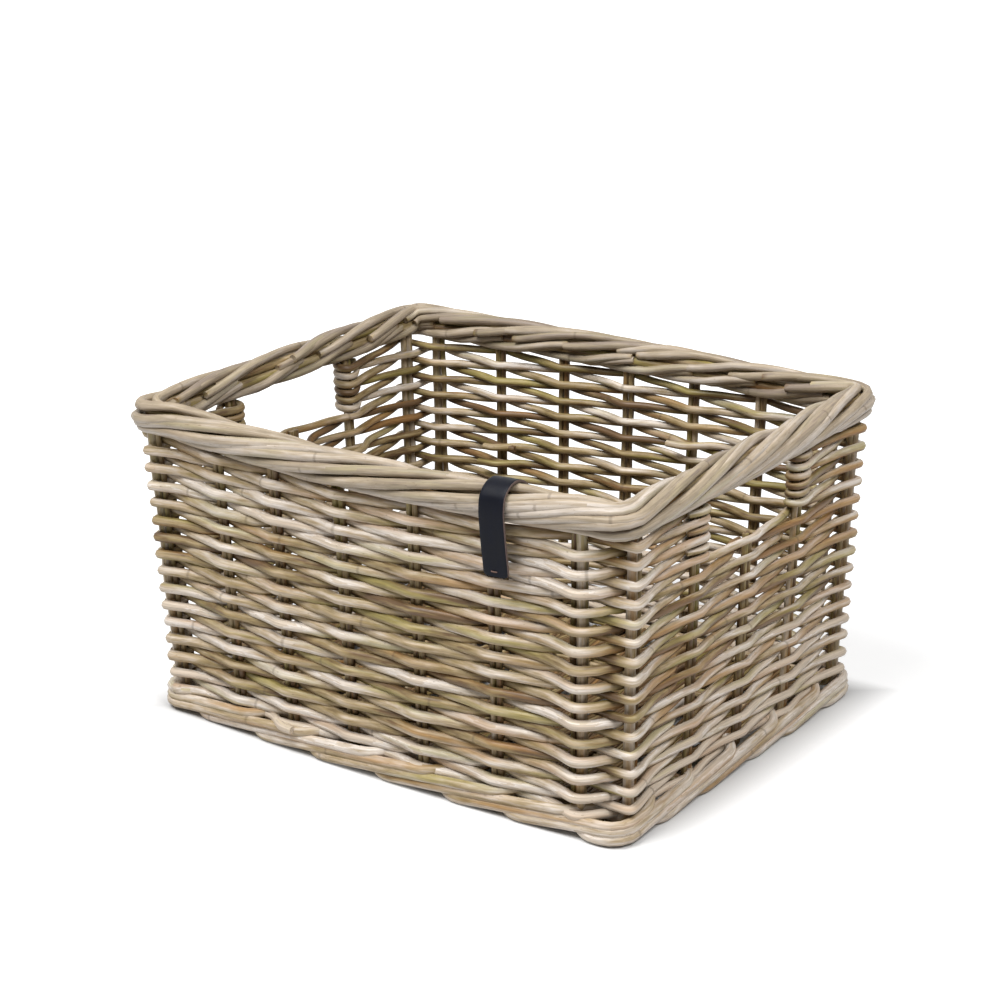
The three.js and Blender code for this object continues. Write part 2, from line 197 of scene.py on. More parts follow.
def half_sizes(z):
    """Half the length and half the width of the wall's middle at a height."""
    inset = WALL_LEAN * (STAKE_TOP - max(z, ROW_HEIGHTS[0]))
    return HALF_LENGTH - inset, HALF_WIDTH - inset


def spread_place(side, along, halves):
    """Place of a stake along its side, by the half sizes at a height. Stakes spread upwards with the walls."""
    return along * halves[side % 2] / (HALF_LENGTH, HALF_WIDTH)[side % 2]


def turned(side, x, y):
    """A plan position given for the front, turned to a side."""
    quarter = side * math.pi / 2
    c, n = round(math.cos(quarter)), round(math.sin(quarter))
    return c * x - n * y, n * x + c * y


TIGHTEST_TURN = 3 * MM


class PlanLine:
    """A rounded rectangle in plan, followed anticlockwise from the left end of the front."""

    def __init__(self, half_x, half_y, radius):
        self.radius = radius
        self.halves = [half_x, half_y, half_x, half_y]
        self.straights = [2 * (half - radius) for half in self.halves]
        self.arc = radius * math.pi / 2
        self.starts = []
        run = 0.0
        for straight in self.straights:
            self.starts.append(run)
            run += straight + self.arc
        self.length = run

    def place(self, side, along):
        """Distance round the line of a point by its place along a side."""
        half = self.halves[side] - self.radius
        beyond = abs(along) - half
        if beyond <= 0:
            return self.starts[side] + along + half
        turn = math.atan2(beyond, self.radius) * self.radius
        return self.starts[side] + (self.straights[side] + turn if along > 0 else -turn)

    def point(self, distance, outward):
        """Plan position at a distance round the line and an outward offset."""
        s = distance % self.length
        side = max(i for i in range(SIDES) if self.starts[i] <= s + 1e-12)
        s -= self.starts[side]
        across = self.halves[(side + 1) % SIDES] + outward
        reach = max(self.radius + outward, TIGHTEST_TURN)
        turn_start = self.halves[side] + outward - reach
        if s <= self.straights[side]:
            x = min(turn_start, max(-turn_start, s - self.straights[side] / 2))
            y = -across
        else:
            angle = (s - self.straights[side]) / self.radius
            x = turn_start + reach * math.sin(angle)
            y = reach - across - reach * math.cos(angle)
        return turned(side, x, y)


def is_corner(side, along):
    """Whether a stake is the first or the last of its side."""
    return along in (PLACES[side][0], PLACES[side][-1])


def is_under_handle(side, along):
    """Whether a stake is the middle one of an end, which stops under the handle opening."""
    return side % 2 == 1 and along == PLACES[side][2]


FLARE_NARROWING = 4
FLARE_RISE = 8


def bowed(point, sizes):
    """A point moved with the bow of the long walls, the sag of the front rim and the flare of its left corners."""
    x, y, z = point
    share = max(0.0, 1 - (x / BOW_REACH) ** 2)
    rise = min(1.0, max(0.0, (z - ROW_HEIGHTS[0]) / (STAKE_TOP - ROW_HEIGHTS[0])))
    sag = RIM_SAG * share * rise if y < 0 else 0.0
    bow = WALL_BOW * share * min(1.0, abs(y) / HALF_WIDTH)
    nearness = (max(0.0, -x) / HALF_LENGTH * abs(y) / HALF_WIDTH) ** FLARE_NARROWING
    flare = sizes.flare * nearness * (z / RIM_Z) ** FLARE_RISE
    return x - flare, y + math.copysign(bow + flare, y), z - sag


# Rods

CLOSEST_POINTS = 0.4 * MM
TAPER_LENGTH = 25 * MM
SWELL = 0.07
SWELL_LENGTHS = (0.05, 0.13, 0.31)


class Rod:
    """A length of cane by its centre line, its radius along it, its bark's tone from dark to pale, how much
    painted shade darkens its underside, and how much more of it is ochre or, below 0, grey."""

    def __init__(self, points, radius, tone, end_taper=1.0):
        kept = [points[0]]
        for point in points[1:]:
            if math.dist(point, kept[-1]) > CLOSEST_POINTS:
                kept.append(point)
        self.points = np.array(kept, dtype=float)
        steps = np.linalg.norm(np.diff(self.points, axis=0), axis=1)
        self.along = np.concatenate([[0.0], np.cumsum(steps)])
        from_end = np.minimum(self.along, self.along[-1] - self.along)
        taper = end_taper + (1 - end_taper) * np.clip(from_end / TAPER_LENGTH, 0, 1)
        self.radii = radius * taper
        self.tones = np.full(len(self.points), tone)
        self.underside_painted_shade = np.zeros(len(self.points))
        self.warmths = np.zeros(len(self.points))


def smooth_line(points, step):
    """Points at even steps along a soft curve through the points given."""
    given = np.array(points, dtype=float)
    padded = np.vstack([2 * given[0] - given[1], given, 2 * given[-1] - given[-2]])
    line = []
    for i in range(len(given) - 1):
        a, b, c, d = padded[i:i + 4]
        count = max(2, int(round(np.linalg.norm(c - b) / step)))
        for t in np.arange(count) / count:
            line.append(
                0.5 * (2 * b + (c - a) * t + (2 * a - 5 * b + 4 * c - d) * t**2 + (3 * b - a - 3 * c + d) * t**3)
            )
    line.append(given[-1])
    return line


def swell(rng, rod):
    """Slow changes of thickness along a rod."""
    waves = np.zeros_like(rod.along)
    for length in SWELL_LENGTHS:
        waves += math.sqrt(length) * np.sin(rod.along / length * 2 * math.pi + rng.uniform(0, 2 * math.pi))
    rod.radii = rod.radii * (1 + SWELL * waves)
    return rod


PROFILE_RESOLUTION = 2
PROFILE_SIDES = 2 * (PROFILE_RESOLUTION + 2)
CANE_LENGTHS = 60
WELD_DISTANCE = 1e-7


def rods_mesh(name, rods, rng, twist):
    """One mesh of all the rods given, with the cane's own coordinates kept on its points."""
    curve = bpy.data.curves.new(name, "CURVE")
    curve.dimensions = "3D"
    curve.twist_mode = twist
    curve.bevel_depth = 1.0
    curve.bevel_resolution = PROFILE_RESOLUTION
    curve.use_fill_caps = True
    curve.resolution_u = 1
    for rod in rods:
        spline = curve.splines.new("POLY")
        spline.points.add(len(rod.points) - 1)
        spline.points.foreach_set("co", np.column_stack([rod.points, np.ones(len(rod.points))]).ravel())
        spline.points.foreach_set("radius", rod.radii)
        spline.use_smooth = True
    holder = bpy.data.objects.new(name, curve)
    bpy.context.scene.collection.objects.link(holder)
    mesh = bpy.data.meshes.new_from_object(holder)
    bpy.data.objects.remove(holder)
    bpy.data.curves.remove(curve)
    mesh.name = name
    store_cane(mesh, rods, rng)
    close_ends(mesh)
    return mesh


def store_cane(mesh, rods, rng):
    """Keeps each point's place in its own cane, its tone with the painted shade of its rod's underside, and its
    warmth as attributes. The mesh lists the cut ends from the last rod to the first, and then the bark from the
    first rod to the last."""
    turn = np.arange(PROFILE_SIDES) * 2 * math.pi / PROFILE_SIDES
    spots = np.empty(3 * len(mesh.vertices))
    mesh.vertices.foreach_get("co", spots)
    heights = spots[2::3]
    first = 2 * PROFILE_SIDES * len(rods)
    cuts, barks = [], []
    for rod in rods:
        last = first + len(rod.points) * PROFILE_SIDES
        rise = heights[first:last].reshape(-1, PROFILE_SIDES) - rod.points[:, 2:]
        first = last
        bark = np.empty((len(rod.points), PROFILE_SIDES, 5))
        bark[:, :, 0] = rod.radii[:, None] * np.cos(turn)
        bark[:, :, 1] = rod.radii[:, None] * np.sin(turn)
        bark[:, :, 2] = rod.along[:, None] + rng.uniform(0, CANE_LENGTHS)
        # Painted shade: the tone falls from each rod's top to its underside by the rod's underside shade.
        bark[:, :, 3] = rod.tones[:, None] - rod.underside_painted_shade[:, None] * (0.5 - rise / (2 * rod.radii[:, None]))
        bark[:, :, 4] = rod.warmths[:, None]
        cut = bark[[-1, 0]]
        cut[:, :, 3] = rod.tones[[-1, 0], None]
        cut[:, :, 4] = 0
        cuts.insert(0, cut.reshape(-1, 5))
        barks.append(bark.reshape(-1, 5))
    values = np.vstack(cuts + barks)
    mesh.attributes.new("cane", "FLOAT_VECTOR", "POINT").data.foreach_set("vector", values[:, :3].ravel())
    mesh.attributes.new("tone", "FLOAT", "POINT").data.foreach_set("value", values[:, 3].copy())
    mesh.attributes.new("warmth", "FLOAT", "POINT").data.foreach_set("value", values[:, 4].copy())


def close_ends(mesh):
    """Welds the cut ends to the bark and gives them the second material."""
    work = bmesh.new()
    work.from_mesh(mesh)
    for face in work.faces:
        face.material_index = 1 if len(face.verts) == 3 else 0
        face.smooth = len(face.verts) == 4
    bmesh.ops.remove_doubles(work, verts=work.verts, dist=WELD_DISTANCE)
    for edge in work.edges:
        edge.smooth = len({face.material_index for face in edge.link_faces}) == 1
    work.to_mesh(mesh)
    work.free()
    mesh.uv_layers.remove(mesh.uv_layers[0])


def add_piece(name, mesh, materials, slot, *nodes):
    """A finished piece, carried by the basket in place of its solids."""
    piece = bpy.data.objects.new(name, mesh)
    bpy.context.scene.collection.objects.link(piece)
    mesh.materials.clear()
    for material in materials:
        mesh.materials.append(material)
    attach(piece, BODY)
    if nodes:
        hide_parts(*nodes)
    return piece


def add_rods(name, rods, rng, slot, *nodes, twist="Z_UP"):
    """A finished piece of rattan rods."""
    return add_piece(name, rods_mesh(name, rods, rng, twist), rattan_materials(), slot, *nodes)


# Materials

def new_material(name):
    """A material, its node tree and its shader."""
    material = bpy.data.materials.new(name)
    material.use_nodes = True
    return material, material.node_tree, material.node_tree.nodes["Principled BSDF"]


def attribute(tree, name):
    """An attribute kept on a piece's points."""
    node = tree.nodes.new("ShaderNodeAttribute")
    node.attribute_name = name
    return node


def object_place(tree):
    """The place on a piece, in the basket's own frame."""
    return tree.nodes.new("ShaderNodeTexCoord").outputs["Object"]


def scaled_noise(tree, vector, scale, detail):
    """Noise over the vector stretched by a scale for each of its parts."""
    mapping = tree.nodes.new("ShaderNodeMapping")
    mapping.inputs["Scale"].default_value = scale
    tree.links.new(vector, mapping.inputs["Vector"])
    noise = tree.nodes.new("ShaderNodeTexNoise")
    noise.inputs["Scale"].default_value = 1.0
    noise.inputs["Detail"].default_value = detail
    tree.links.new(mapping.outputs["Vector"], noise.inputs["Vector"])
    return noise.outputs["Fac"]


def spread(tree, value, low, high, to_low=0.0, to_high=1.0):
    """A value carried from one range to another, kept inside it."""
    ranged = tree.nodes.new("ShaderNodeMapRange")
    ranged.inputs["From Min"].default_value = low
    ranged.inputs["From Max"].default_value = high
    ranged.inputs["To Min"].default_value = to_low
    ranged.inputs["To Max"].default_value = to_high
    tree.links.new(value, ranged.inputs["Value"])
    return ranged.outputs["Result"]


def feed(tree, socket, value):
    """Links a socket to another one, or sets it to a number or a colour."""
    if isinstance(value, bpy.types.NodeSocket):
        tree.links.new(value, socket)
    else:
        socket.default_value = value


def arithmetic(tree, operation, *values):
    """The result of an operation on one to three values."""
    node = tree.nodes.new("ShaderNodeMath")
    node.operation = operation
    for socket, value in zip(node.inputs, values):
        feed(tree, socket, value)
    return node.outputs["Value"]


def swung(tree, noise, contrast):
    """Noise made to swing to both sides of 0."""
    return arithmetic(tree, "MULTIPLY_ADD", noise, contrast, -contrast / 2)


def blended(tree, factor, under, over, blend="MIX"):
    """One colour over another by a factor."""
    node = tree.nodes.new("ShaderNodeMix")
    node.data_type = "RGBA"
    node.blend_type = blend
    feed(tree, node.inputs["Factor"], factor)
    for socket, value in ((node.inputs[6], under), (node.inputs[7], over)):
        feed(tree, socket, value if isinstance(value, bpy.types.NodeSocket) else (*value[:3], 1.0))
    return node.outputs[2]


def roughen(tree, shader, height, strength, depth):
    """Gives a shader bumps of a depth."""
    bump = tree.nodes.new("ShaderNodeBump")
    bump.inputs["Strength"].default_value = strength
    bump.inputs["Distance"].default_value = depth
    tree.links.new(height, bump.inputs["Height"])
    tree.links.new(bump.outputs["Normal"], shader.inputs["Normal"])


def rattan_materials():
    """The bark and the cut end of a rod."""
    ready = bpy.data.materials.get("rattan_bark")
    if ready:
        return ready, bpy.data.materials["rattan_cut_end"]
    colours = bpy.context.scene.basket_colours
    return rattan_bark(colours), rattan_cut_end(colours)


PATCH_CONTRAST = 1.5
MOTTLE_CONTRAST = 0.8
DARKEST_LEVEL = 0.04
SHADE_STEP = 0.23
RINGS_PER_METRE = 2.8


def bark_shades(tree, level, colours):
    """The bark's colours from dark to pale by its level."""
    shades = tree.nodes.new("ShaderNodeValToRGB")
    stops = shades.color_ramp.elements
    palette = (colours.dark, colours.olive, colours.tan, colours.pale, colours.silver)
    for i, shade in enumerate(palette):
        stop = stops[i] if i < 2 else stops.new(0.5)
        stop.position = DARKEST_LEVEL + SHADE_STEP * i
        stop.color = (*shade, 1.0)
    tree.links.new(level, shades.inputs["Fac"])
    return shades.outputs["Color"]


def node_rings(tree, cane):
    """How strongly the rings show along a cane."""
    place = tree.nodes.new("ShaderNodeSeparateXYZ")
    tree.links.new(cane, place.inputs["Vector"])
    rings = tree.nodes.new("ShaderNodeTexVoronoi")
    rings.voronoi_dimensions = "1D"
    rings.feature = "DISTANCE_TO_EDGE"
    rings.inputs["Scale"].default_value = RINGS_PER_METRE
    tree.links.new(place.outputs["Z"], rings.inputs["W"])
    return spread(tree, rings.outputs["Distance"], 0.0015, 0.0045, 0.38, 0.0)


def rattan_bark(colours):
    """Unpeeled cane: streaks along the rod, patches of other colours and rings at the nodes."""
    material, tree, shader = new_material("rattan_bark")
    cane = attribute(tree, "cane").outputs["Vector"]
    tone = attribute(tree, "tone").outputs["Fac"]
    warmth = attribute(tree, "warmth").outputs["Fac"]
    patches = scaled_noise(tree, cane, (170, 170, 14), 5.0)
    mottle = scaled_noise(tree, cane, (420, 420, 75), 4.0)
    streaks = scaled_noise(tree, cane, (900, 900, 30), 3.0)
    flecks = scaled_noise(tree, cane, (700, 700, 240), 2.0)
    warm = scaled_noise(tree, cane, (90, 90, 7.3), 2.0)

    level = arithmetic(tree, "ADD", tone, swung(tree, patches, PATCH_CONTRAST))
    level = arithmetic(tree, "ADD", level, swung(tree, mottle, MOTTLE_CONTRAST))
    ochre = spread(tree, arithmetic(tree, "ADD", warm, warmth), 0.56, 0.70, 0.0, 0.55)
    green = spread(tree, warm, 0.44, 0.32, 0.0, 0.5)
    weathered = spread(tree, warmth, 0.0, -0.1, 0.0, 0.5)
    coloured = blended(tree, ochre, bark_shades(tree, level, colours), colours.ochre)
    coloured = blended(tree, green, coloured, colours.green)
    coloured = blended(tree, weathered, coloured, colours.grey)

    shade = spread(tree, streaks, 0.3, 0.7, 0.74, 1.12)
    grey = tree.nodes.new("ShaderNodeCombineColor")
    for socket in grey.inputs:
        tree.links.new(shade, socket)
    grained = blended(tree, 1.0, coloured, grey.outputs["Color"], "MULTIPLY")
    barked = blended(tree, spread(tree, flecks, 0.66, 0.76, 0.0, 0.5), grained, colours.dark)
    ringed = node_rings(tree, cane)
    tree.links.new(blended(tree, ringed, barked, colours.ring), shader.inputs["Base Color"])
    tree.links.new(spread(tree, patches, 0.3, 0.7, 0.36, 0.58), shader.inputs["Roughness"])
    shader.inputs["Specular IOR Level"].default_value = 0.33
    roughen(tree, shader, arithmetic(tree, "SUBTRACT", streaks, ringed), 0.5, 0.25 * MM)
    return material


def rattan_cut_end(colours):
    """Brown pith with darker pores."""
    material, tree, shader = new_material("rattan_cut_end")
    pores = scaled_noise(tree, attribute(tree, "cane").outputs["Vector"], (1500, 1500, 400), 3.0)
    dark = spread(tree, pores, 0.45, 0.65, 0.0, 0.8)
    tree.links.new(blended(tree, dark, colours.pith, colours.ring), shader.inputs["Base Color"])
    shader.inputs["Roughness"].default_value = 0.8
    roughen(tree, shader, pores, 0.6, 0.3 * MM)
    return material


WEAR_LIGHTENING = 1.8
FIBRE_DARKENING = 0.4


def strap_face(colours):
    """Dark smooth strap with a fine grain and a soft sheen."""
    material, tree, shader = new_material("strap_face")
    place = object_place(tree)
    grain = scaled_noise(tree, place, (1400, 1400, 1400), 4.0)
    wear = scaled_noise(tree, place, (160, 160, 60), 3.0)
    lighter = [min(1.0, WEAR_LIGHTENING * c) for c in colours.strap]
    worn = spread(tree, wear, 0.45, 0.75, 0.0, 0.55)
    tree.links.new(blended(tree, worn, colours.strap, lighter), shader.inputs["Base Color"])
    tree.links.new(spread(tree, wear, 0.3, 0.7, 0.38, 0.52), shader.inputs["Roughness"])
    shader.inputs["Specular IOR Level"].default_value = 0.12
    roughen(tree, shader, grain, 0.25, 0.2 * MM)
    return material


def plain_fibre(name, shade, roughness):
    """A fibrous surface for the strap's cut edge and its thread."""
    material, tree, shader = new_material(name)
    fibres = scaled_noise(tree, object_place(tree), (2200, 2200, 700), 3.0)
    mixed = spread(tree, fibres, 0.35, 0.7, 0.0, 0.6)
    darker = [FIBRE_DARKENING * c for c in shade]
    tree.links.new(blended(tree, mixed, shade, darker), shader.inputs["Base Color"])
    shader.inputs["Roughness"].default_value = roughness
    return material


# Pieces

STAKE_BEND = 7 * MM
STAKE_STEP = 12 * MM
BEND_POINTS = 7
ACROSS_POINTS = 18
STAKE_STRAY = 0.5 * MM
STAKE_WIDTHS = (0.92, 1.08)
# Stake rods are olive to dark brown bark, kept darker still as painted shade where they show in the gaps between
# rows.
STAKE_TONES_WITH_PAINTED_SHADE = (0.0, 0.36)
POST_TONES = (0.45, 0.65)
STAKE_INTO_BORDER = 6 * MM


def stake_line(ends, along_x, offset, base_z, top, stray):
    """Centre line of one rod of a stake: down a wall, across the base and up the wall opposite."""
    axis = 1 if along_x else 0
    knee = half_sizes(base_z)[axis] - STAKE_BEND

    def leg(place, sign):
        points = []
        for z in np.arange(top, base_z + STAKE_BEND, -STAKE_STEP):
            along = spread_place(1 - axis, place, half_sizes(z))
            points.append((along + offset + stray(z), sign * half_sizes(z)[axis], z))
        for turn in np.radians(np.linspace(0, 90, BEND_POINTS)):
            out, up = knee + STAKE_BEND * math.cos(turn), STAKE_BEND * (1 - math.sin(turn))
            points.append((spread_place(1 - axis, place, half_sizes(base_z)) + offset, sign * out, base_z + up))
        return points

    near, far = leg(ends[0], -1), leg(ends[1], 1)[::-1]
    across = [tuple(point) for point in np.linspace(near[-1], far[0], ACROSS_POINTS)[1:-1]]
    points = near + across + far
    return points if along_x else [(y, x, z) for x, y, z in points]


def stake_rods(ends, along_x, base_z, top, thick_side, rng, sizes):
    """The two rods of a stake pair. At a corner the one nearest the corner is a thick post."""
    rods = []
    for sign in (-1, 1):
        is_post = sign == thick_side
        diameter = sizes.post if is_post else sizes.stake * rng.uniform(*STAKE_WIDTHS)
        spacing = (sizes.post + sizes.stake) / 4 if thick_side else sizes.stake / 2
        stray = wavering(rng, STAKE_STRAY, 2 * RIM_Z)
        base = base_z + max(0.0, (diameter - sizes.stake) / 2)
        line = stake_line(ends, along_x, sign * spacing, base, top, stray)
        line = [bowed(point, sizes) for point in line]
        tone = rng.uniform(*(POST_TONES if is_post else STAKE_TONES_WITH_PAINTED_SHADE))
        rods.append(swell(rng, Rod(line, diameter / 2, tone)))
    return rods


def post_side(i, places):
    """-1 or 1 for the side of a corner pair that its thick post is on, and 0 for other pairs."""
    return {0: -1, len(places) - 1: 1}.get(i, 0)


class BASKET_OT_stakes(bpy.types.Operator):
    """Pairs of rods down one wall, across the base and up the wall opposite"""

    bl_idname = "basket.stakes"
    bl_label = "Stakes"

    def execute(self, context):
        sizes = context.scene.basket_sizes
        rng = random.Random(sizes.seed + 1)
        top = STAKE_TOP + STAKE_INTO_BORDER
        for i, ends in enumerate(zip(FRONT_X, BACK_X)):
            rods = stake_rods(ends, True, CROSS_STAKE_Z, top, post_side(i, FRONT_X), rng, sizes)
            add_rods(f"cross_stake_pair_{i + 1}", rods, rng, "stakes", f"cross_stake_{i + 1}", twist="MINIMUM")
        for i, place in enumerate(END_Y):
            height = HANDLE_SILL if is_under_handle(1, place) else top
            rods = stake_rods((place, place), False, LONG_STAKE_Z, height, post_side(i, END_Y), rng, sizes)
            add_rods(f"long_stake_pair_{i + 1}", rods, rng, "stakes", f"long_stake_{i + 1}", twist="MINIMUM")
        return {"FINISHED"}


def alternating(first, count):
    """1 and -1 in turn, from the first one given."""
    return [first * (-1) ** i for i in range(count)]


BASE_BUNDLES = 24
BUNDLE_CANES = 5
BASE_STEP = 8 * MM
BASE_STRAY = 0.2 * MM
BASE_WIDTHS = (0.94, 1.02)
# The base canes are kept dark, painted shade for the dim floor of the basket seen through the gaps.
BASE_TONES_WITH_PAINTED_SHADE = (-0.1, 0.2)


class BASKET_OT_base(bpy.types.Operator):
    """Bundles of thin canes across the basket, over and under the stakes that lie along the base"""

    bl_idname = "basket.base"
    bl_label = "Woven base"

    def execute(self, context):
        sizes = context.scene.basket_sizes
        rng = random.Random(sizes.seed + 2)
        low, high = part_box("base_mat")
        reach = (STAKE_SOLID + sizes.base_rod) / 2
        pitch = (high[0] - low[0]) / (BASE_BUNDLES * BUNDLE_CANES)
        stakes = [spread_place(1, y, half_sizes(LONG_STAKE_Z)) for y in END_Y]
        rods = []
        for i in range(BASE_BUNDLES * BUNDLE_CANES):
            x = low[0] + (i + 0.5) * pitch
            first = 1 if (i // BUNDLE_CANES) % 2 == 0 else -1
            stray = rng.uniform(-BASE_STRAY, BASE_STRAY)
            signs = alternating(first, len(stakes))
            points = [(x + stray, y, LONG_STAKE_Z + sign * reach) for y, sign in zip(stakes, signs)]
            points[0] = (x, low[1], points[0][2])
            points[-1] = (x, high[1], points[-1][2])
            radius = sizes.base_rod / 2 * rng.uniform(*BASE_WIDTHS)
            rods.append(Rod(smooth_line(points, BASE_STEP), radius, rng.uniform(*BASE_TONES_WITH_PAINTED_SHADE)))
        add_rods("base_weave", rods, rng, "base", "base_mat", twist="MINIMUM")
        return {"FINISHED"}


FINE_STEP = 1 * MM
POINT_EVERY = 2
BEND_SHARPNESS = 1.45
BEND_ROUNDING = 3 * MM


def softened(values, width):
    """Values at fine steps with their sharp turns rounded over a width."""
    half = int(3 * width / FINE_STEP)
    weights = np.exp(-0.5 * (np.arange(-half, half + 1) * FINE_STEP / width) ** 2)
    return np.convolve(np.pad(values, half, mode="edge"), weights / weights.sum(), mode="valid")


def plan_point(side, along, across):
    """Plan position of a place along a side at a distance from the basket's middle."""
    return turned(side, along, -across)


def stepped(knots):
    """Points at fine steps along straight lines from knot to knot."""
    points = []
    for start, finish in zip(knots, knots[1:]):
        count = max(1, round(math.dist(start[:2], finish[:2]) / FINE_STEP))
        points += list(np.linspace(start, finish, count, endpoint=False))
    return points


# How far rows that go in at each corner, and rows that come out there, reach towards it: 1 is the very corner

CORNER_REACH = ((0.25, 1.0), (1.0, 1.0), (0.6, 0.6), (1.05, 1.05))
CORNER_RUN = 4.5 * MM
CORNER_PUSH = 1.5 * MM
LAP_RISE = 22 * MM


def woven_line(passed, reaches, halves, lead=0.0, tail=0.0, lift=0.0):
    """Fine points of a row past its stakes: plan positions, and offsets from the wall's middle. It runs on at
    both ends, and its last end may lie over another rod."""

    def knot(place, beyond, out):
        side, along = place
        return np.array((*plan_point(side, along + beyond, halves[(side + 1) % 2] + out), out))

    passed = [(side, spread_place(side, along, halves)) for side, along in passed]
    points = stepped([knot(passed[0], -lead, reaches[0]), knot(passed[0], 0, reaches[0])])
    for here, after, out, next_out in zip(passed, passed[1:], reaches, reaches[1:]):
        if here[0] == after[0]:
            gap = after[1] - here[1]
            for share in np.arange(0, 1, FINE_STEP / gap):
                bend = (out if share < 0.5 else next_out) * abs(1 - 2 * share) ** BEND_SHARPNESS
                points.append(knot(here, share * gap, bend))
        else:
            start, finish = knot(here, CORNER_RUN, out), knot(after, -CORNER_RUN, next_out)
            straight = (start + finish) / 2
            comes_out = out < 0
            corner = knot((here[0], halves[here[0] % 2]), next_out, out + CORNER_PUSH * comes_out)
            turn = straight + CORNER_REACH[here[0]][comes_out] * (corner - straight)
            points += stepped([knot(here, 0, out), start, turn, finish, knot(after, 0, next_out)])
    points += stepped([knot(passed[-1], 0, reaches[-1]), knot(passed[-1], tail, reaches[-1])])
    line = np.array(points)
    left = np.arange(len(line))[::-1] * FINE_STEP - tail
    rise = np.clip(1 - left / LAP_RISE, 0, 1)
    line[:, :2] += (lift * rise**2 * (3 - 2 * rise))[:, None] * plan_point(passed[-1][0], 0, 1)
    return np.column_stack([softened(column, BEND_ROUNDING) for column in line.T])


def ramp(value, low, high):
    """0 up to a low value, 1 from a high one on and a straight rise between them."""
    return np.clip((value - low) / (high - low), 0, 1)


FACING_SHARPNESS = 3


def facing(x, y):
    """Near 1 where a wall shows its outside to the front right, and near -1 where it shows its inside."""
    return min(1.0, max(-1.0, FACING_SHARPNESS * (x / HALF_LENGTH - y / HALF_WIDTH)))


NEAR_CORNER = (1.55, 1.85)
NEAR_FRONT = (0.93, 0.98)


def row_points(line, z, height, sizes):
    """Centre line of a row from its plan positions and its offsets from the wall's middle."""
    points = []
    for x, y, offset in line:
        shown = facing(x, y)
        near = ramp(x / HALF_LENGTH - y / HALF_WIDTH, *NEAR_CORNER) * ramp(-y / HALF_WIDTH, *NEAR_FRONT)
        dip = (sizes.outer_dip if shown > 0 else sizes.inner_dip) * shown * (1 - near) + sizes.corner_dip * near
        turn = math.atan2(y / HALF_WIDTH, x / HALF_LENGTH)
        points.append(bowed((x, y, z + height(turn) - dip * offset / sizes.weaver), sizes))
    return points


WAVE_COUNTS = (2, 3, 5, 7, 11)
WAVE_HEIGHT = 1.6


def wavering(rng, amount, length):
    """A slow random rise and fall along a length."""
    waves = [(n, rng.uniform(-1, 1), rng.uniform(0, 2 * math.pi)) for n in WAVE_COUNTS]

    def height(distance):
        total = sum(a * math.sin(n * 2 * math.pi * distance / length + phase) for n, a, phase in waves)
        return amount * total / WAVE_HEIGHT

    return height


ROW_TONE = 0.47
ROW_TONE_SPREAD = 0.25
FOOT_PALENESS = 0.30
FOOT_PALE_ROWS = 9
RIM_PALENESS = 0.10


def row_tone(row, rng):
    """Rows near the foot and under the border are paler."""
    pale = FOOT_PALENESS * max(0.0, 1 - row / FOOT_PALE_ROWS)
    pale += RIM_PALENESS * max(0.0, (row - FULL_ROWS) / HANDLE_ROWS)
    return min(1.0, max(0.0, rng.gauss(ROW_TONE, ROW_TONE_SPREAD) + pale))


SHOWN_SLACK = 0.1 * MM
HIDDEN_SLACK = 0.9 * MM


def stake_reach(side, along, sizes, weaver):
    """How far from the wall's middle a row passes a stake. Front and right rows press closer."""
    stake = sizes.post if is_corner(side, along) else sizes.stake
    return (stake + weaver) / 2 + (SHOWN_SLACK if side < 2 else HIDDEN_SLACK)


def outwardness(points, z, weaver):
    """From -1 inside the wall's middle to 1 outside it, for points of a row."""
    half_x, half_y = half_sizes(z)
    across, deep = np.abs(points[:, 0]), np.abs(points[:, 1])
    bow = WALL_BOW * np.clip(1 - (across / BOW_REACH) ** 2, 0, 1) * np.clip(deep / HALF_WIDTH, 0, 1)
    return np.clip(np.maximum(across - half_x, deep - bow - half_y) / weaver, -1, 1)


ROW_WIDTH = 0.95
FRONT_WIDENING = 0.18
FAR_CORNER_WIDENING = 0.13
RIGHT_NARROWING = 0.1
# Painted shade on rows where a wall shows its inside.
ROW_INSIDE_PAINTED_SHADE = 0.05
NEAR_FOOT_PALENESS = 0.65
# Painted light where front and right rows swing out past a stake, and painted shade where they pass inside.
BEND_PAINTED_LIGHT_AND_SHADE = 0.2
# Painted light over the right wall.
RIGHT_PAINTED_LIGHT = 0.12
# The lowest rows of the right wall are paler: partly their pale bark, partly painted light where the lamps reach
# less.
RIGHT_FOOT_PALENESS_AND_PAINTED_LIGHT = 0.18
# Painted shade under each row, far stronger on the right wall.
ROW_UNDERSIDE_PAINTED_SHADE = 0.04
RIGHT_UNDERSIDE_PAINTED_SHADE = 0.8
RIGHT_WARMTH = 0.09


